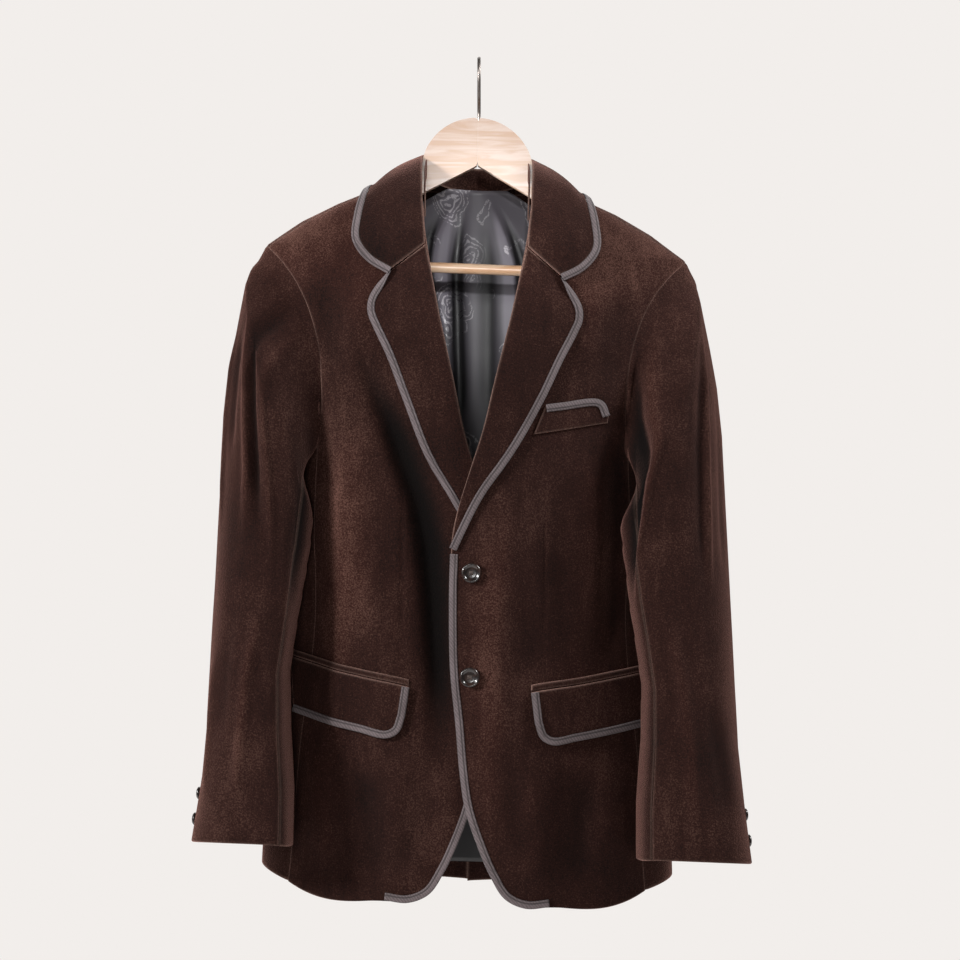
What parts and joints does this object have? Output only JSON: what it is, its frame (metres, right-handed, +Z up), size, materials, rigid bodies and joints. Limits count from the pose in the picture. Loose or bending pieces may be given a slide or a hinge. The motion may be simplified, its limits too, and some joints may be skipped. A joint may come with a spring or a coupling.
{
  "type": "velvet jacket on hanger",
  "caption": "Single-breasted velvet blazer with notch lapels and grey bound edges, hanging open-hemmed on a wooden hanger with a wire hook.",
  "frame": {"origin": "inside of the top of the hanger's hook, where it bears on a rail", "axes": "+Z up, the fronts face -Y, +X is the wearer's left"},
  "size_m": [0.5773, 0.2258, 0.8912],
  "materials": {
    "velvet": "matte brown velvet with a short pile",
    "braid": "matte grey twill braid",
    "lining": "satin tone-on-tone jacquard",
    "button": "glossy horn-like",
    "wood": "pale lacquered wood",
    "metal": "bright wire"
  },
  "bodies": {
    "root": {"front_left": "velvet", "front_braid_left": "braid", "front_right": "velvet", "front_braid_right": "braid", "side_left": "velvet", "side_right": "velvet", "back_left": "velvet", "back_right": "velvet", "lapel_left": "velvet", "lapel_braid_left": "braid", "lapel_right": "velvet", "lapel_braid_right": "braid", "collar_fall": "velvet", "collar_braid": "braid", "collar_stand": "velvet", "sleeve_top_left": "velvet", "sleeve_under_left": "velvet", "sleeve_top_right": "velvet", "sleeve_under_right": "velvet", "flap_left": "velvet", "flap_braid_left": "braid", "jet_left": "velvet", "flap_right": "velvet", "flap_braid_right": "braid", "jet_right": "velvet", "breast_welt": "velvet", "welt_braid": "braid", "front_button_1": "button", "front_button_2": "button", "cuff_button_left_1": "button", "cuff_button_left_2": "button", "cuff_button_right_1": "button", "cuff_button_right_2": "button", "back_lining": "lining", "hanger_left": "wood", "hanger_right": "wood", "trouser_bar": "wood", "hook": "metal"}
  },
  "joints": []
}
